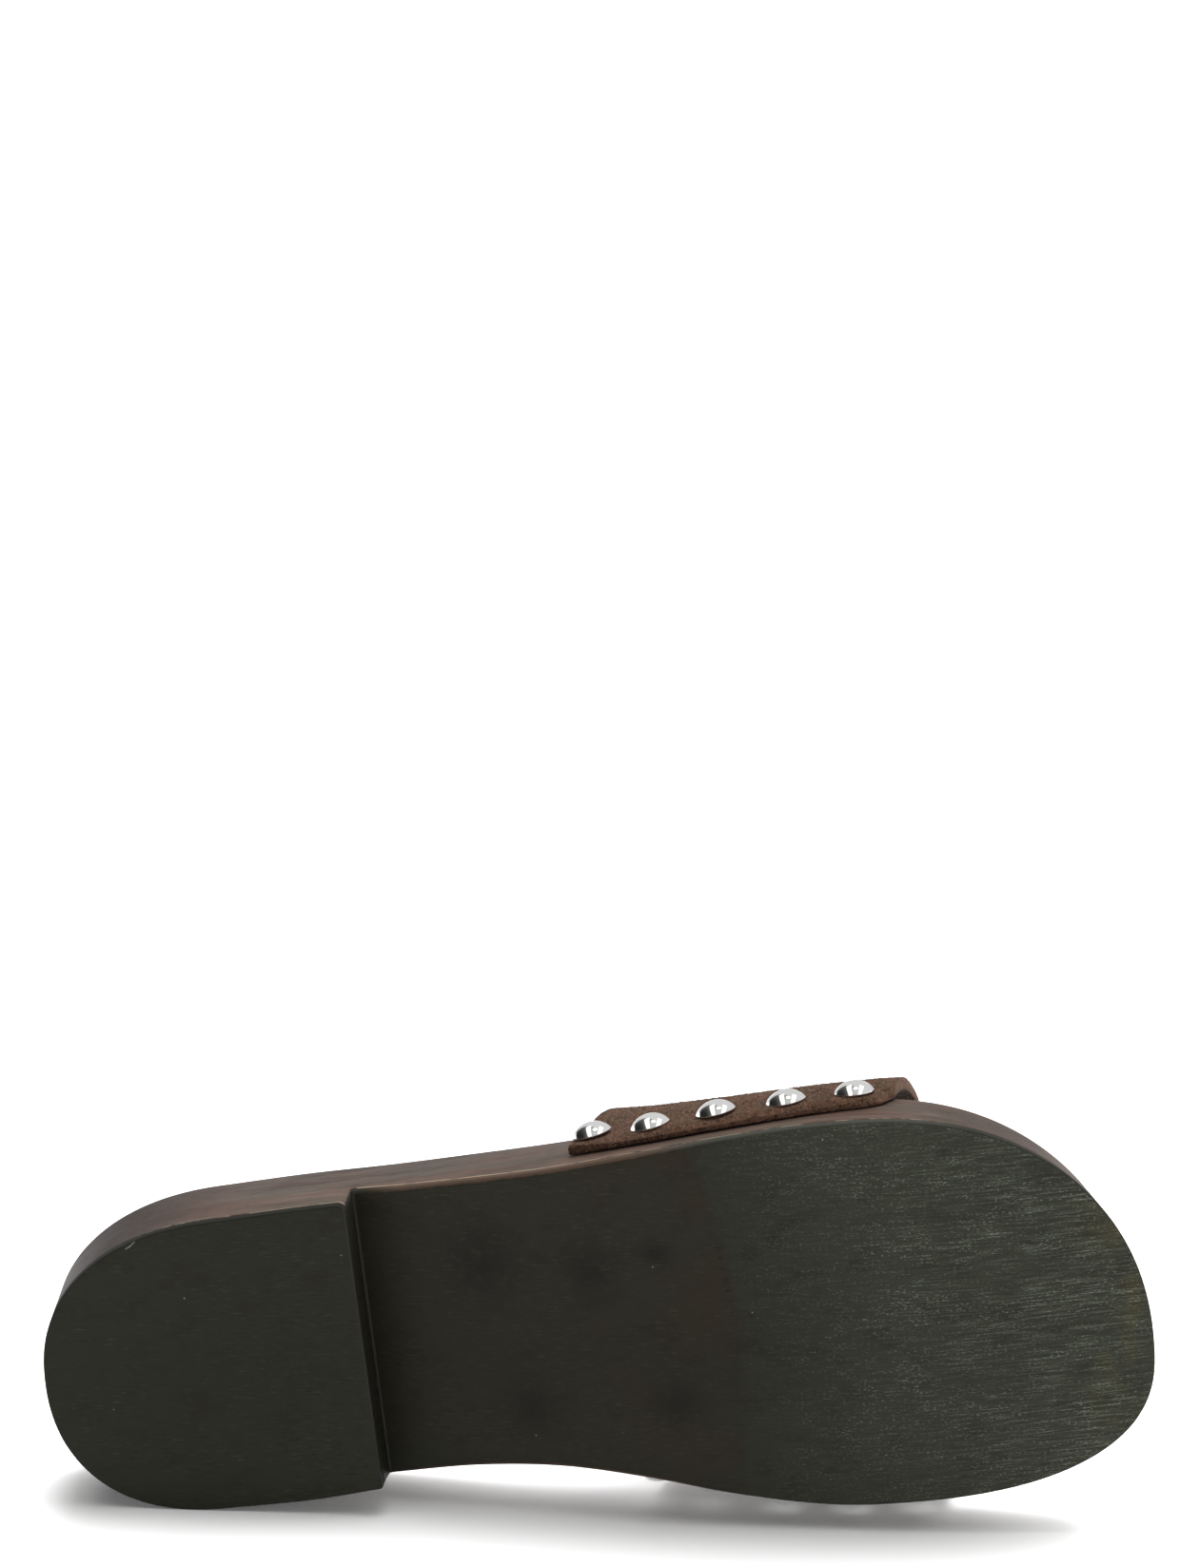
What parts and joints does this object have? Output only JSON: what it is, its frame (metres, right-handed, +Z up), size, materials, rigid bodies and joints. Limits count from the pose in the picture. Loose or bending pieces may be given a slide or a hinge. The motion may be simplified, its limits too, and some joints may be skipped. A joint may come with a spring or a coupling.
{
  "type": "clog mule",
  "caption": "Open-backed wooden clog with a raised heel and a broad suede band over the forefoot, held by domed nails, on a thin dark rubber sole; lies on its side.",
  "frame": {"origin": "centre of the shoe's box, on the floor that it lies on", "axes": "+X from the heel to the toe, -Y the way the sole faces, +Z up towards the outer side of the shoe"},
  "size_m": [0.2628, 0.0808, 0.1037],
  "materials": {
    "stained_wood": "grey-brown stain under a satin lacquer",
    "dark_rubber": "worn olive-black, with lengthwise scuffs",
    "brown_suede": "matt napped suede",
    "polished_steel": "polished, plated"
  },
  "bodies": {
    "root": {"clog_base": "stained_wood", "outsole": "dark_rubber", "heel_lift": "dark_rubber", "strap": "brown_suede", "stud_lateral_1": "polished_steel", "stud_lateral_2": "polished_steel", "stud_lateral_3": "polished_steel", "stud_lateral_4": "polished_steel", "stud_lateral_5": "polished_steel", "stud_medial_1": "polished_steel", "stud_medial_2": "polished_steel", "stud_medial_3": "polished_steel", "stud_medial_4": "polished_steel", "stud_medial_5": "polished_steel"}
  },
  "joints": []
}
